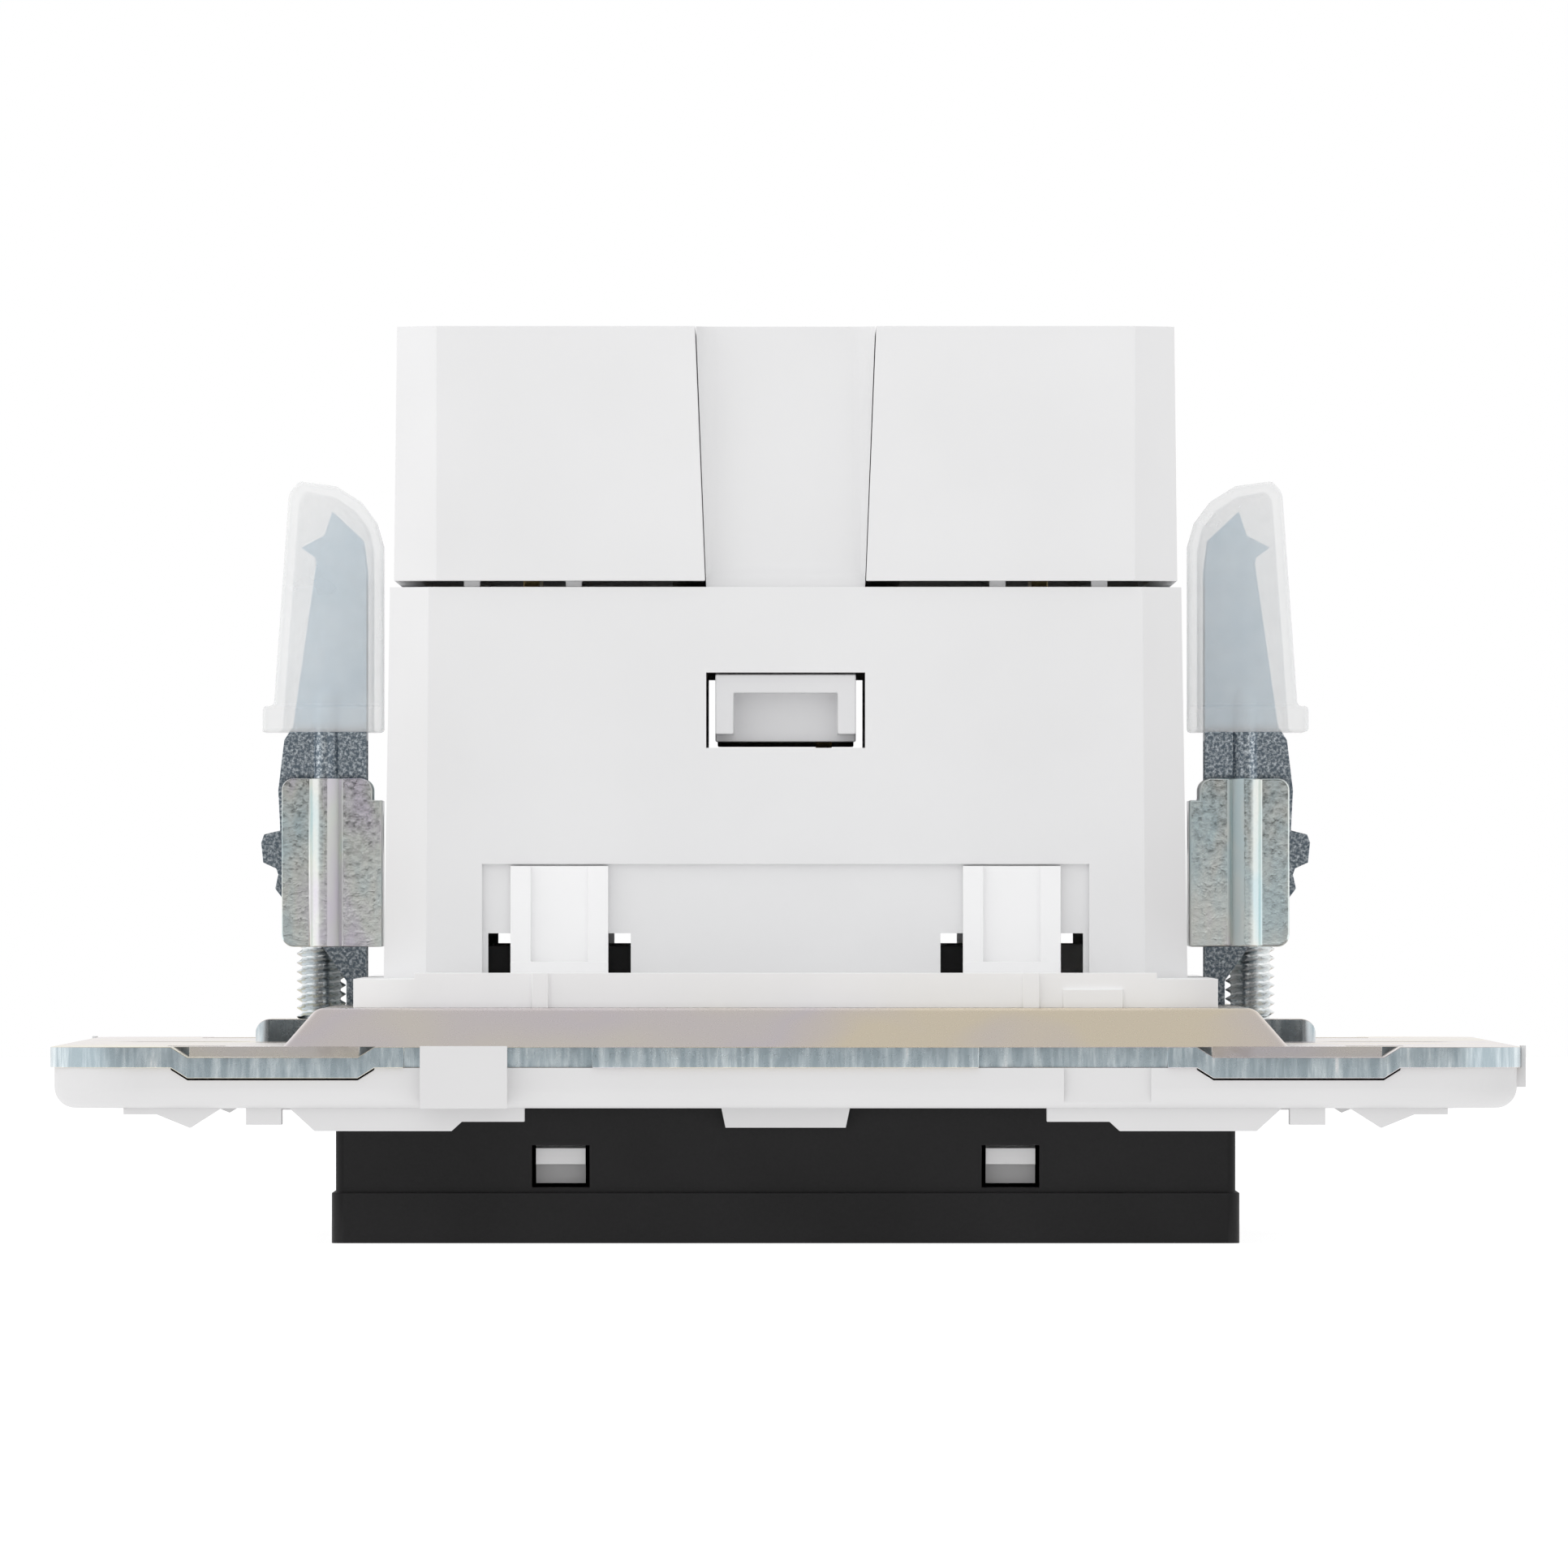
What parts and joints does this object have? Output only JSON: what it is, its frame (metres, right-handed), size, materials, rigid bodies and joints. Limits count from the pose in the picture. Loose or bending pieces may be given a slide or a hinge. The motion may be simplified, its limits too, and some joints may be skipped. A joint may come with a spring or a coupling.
{
  "type": "duplex wall outlet",
  "caption": "Flush-mounted duplex socket insert with steel mounting plate, spreading claws, round earthed plug recesses and rear push-in terminals.",
  "frame": {"origin": "centre of the visible front face, midway between the two sockets", "axes": "+Z points backwards into the wall box, X runs across the narrow side, Y along the two sockets"},
  "size_m": [0.0716, 0.108, 0.0448],
  "materials": {
    "anthracite_plastic": "fine matte, anthracite",
    "white_plastic": "satin white",
    "zinc_plate": "iridescent zinc plating",
    "zinc_screw": "bright zinc plating",
    "blue_zinc": "blue zinc plating",
    "frosted_plastic": "translucent, frosted",
    "contact_metal": "plain",
    "brass": "nickel on brass",
    "spring_steel": "spring steel",
    "button_plastic": "satin orange"
  },
  "bodies": {
    "device": {"front_cover": "anthracite_plastic", "support_frame": "white_plastic", "mounting_plate": "zinc_plate", "plate_rivets": "brass", "socket_base": "white_plastic", "contact_housing": "white_plastic", "contact_carrier": "white_plastic", "earth_strap": "contact_metal", "earth_clamp_springs": "spring_steel", "terminal_cover_live": "white_plastic", "terminal_cover_neutral": "white_plastic", "live_busbar": "contact_metal", "neutral_busbar": "contact_metal", "live_clamp_springs": "spring_steel", "neutral_clamp_springs": "spring_steel", "live_contact_near": "contact_metal", "live_contact_far": "contact_metal", "neutral_contact_near": "contact_metal", "neutral_contact_far": "contact_metal", "shutter_spring_near": "spring_steel", "shutter_spring_far": "spring_steel"},
    "screw_left": {"claw_screw_left": "zinc_screw"},
    "cage_left": {"claw_cage_left": "zinc_plate", "claw_nut_left": "zinc_screw"},
    "blade_left": {"claw_blade_left": "blue_zinc", "claw_sleeve_left": "frosted_plastic"},
    "screw_right": {"claw_screw_right": "zinc_screw"},
    "cage_right": {"claw_cage_right": "zinc_plate", "claw_nut_right": "zinc_screw"},
    "blade_right": {"claw_blade_right": "blue_zinc", "claw_sleeve_right": "frosted_plastic"},
    "shutter_body_near": {"shutter_near": "anthracite_plastic"},
    "shutter_body_far": {"shutter_far": "anthracite_plastic"},
    "button_live": {"release_button_live": "button_plastic"},
    "button_neutral": {"release_button_neutral": "button_plastic"},
    "button_earth": {"release_button_earth": "button_plastic"}
  },
  "joints": [
    {"name": "cage_slide_left", "type": "slide", "parent": "device", "child": "cage_left", "axis": [0, 0, -1], "range_m": [0, 0.00225]},
    {"name": "screw_turn_left", "type": "hinge", "parent": "device", "child": "screw_left", "pos_m": [-0.0232, 0, 0.0097], "axis": [0, 0, 1], "range_deg": [0, 1801]},
    {"name": "blade_tilt_left", "type": "hinge", "parent": "device", "child": "blade_left", "pos_m": [-0.0214, 0, 0.0102], "axis": [0, -1, 0], "range_deg": [0, 8.05]},
    {"name": "cage_slide_right", "type": "slide", "parent": "device", "child": "cage_right", "axis": [0, 0, -1], "range_m": [0, 0.00225]},
    {"name": "screw_turn_right", "type": "hinge", "parent": "device", "child": "screw_right", "pos_m": [0.0232, 0, 0.0097], "axis": [0, 0, 1], "range_deg": [0, 1801]},
    {"name": "blade_tilt_right", "type": "hinge", "parent": "device", "child": "blade_right", "pos_m": [0.0214, 0, 0.0102], "axis": [0, 1, 0], "range_deg": [0, 8.05]},
    {"name": "shutter_slide_near", "type": "slide", "parent": "device", "child": "shutter_body_near", "axis": [1, 0, 0], "range_m": [0, 0.0054], "stiffness_N_per_m": 60, "springref_m": -0.002, "deforming": ["shutter_spring_near"]},
    {"name": "shutter_slide_far", "type": "slide", "parent": "device", "child": "shutter_body_far", "axis": [1, 0, 0], "range_m": [0, 0.0054], "stiffness_N_per_m": 60, "springref_m": -0.002, "deforming": ["shutter_spring_far"]},
    {"name": "button_push_live", "type": "slide", "parent": "device", "child": "button_live", "axis": [0, 0, -1], "range_m": [0, 0.0015], "stiffness_N_per_m": 1500, "springref_m": -0.0003},
    {"name": "button_push_neutral", "type": "slide", "parent": "device", "child": "button_neutral", "axis": [0, 0, -1], "range_m": [0, 0.0015], "stiffness_N_per_m": 1500, "springref_m": -0.0003},
    {"name": "button_push_earth", "type": "slide", "parent": "device", "child": "button_earth", "axis": [0, 0, -1], "range_m": [0, 0.0015], "stiffness_N_per_m": 1500, "springref_m": -0.0003}
  ],
  "couplings": [
    {"joint": "screw_turn_left", "follows": "cage_slide_left", "rad_per_m": 13963},
    {"joint": "blade_tilt_left", "follows": "cage_slide_left", "rad_per_m": 62.056},
    {"joint": "screw_turn_right", "follows": "cage_slide_right", "rad_per_m": 13963},
    {"joint": "blade_tilt_right", "follows": "cage_slide_right", "rad_per_m": 62.056}
  ]
}
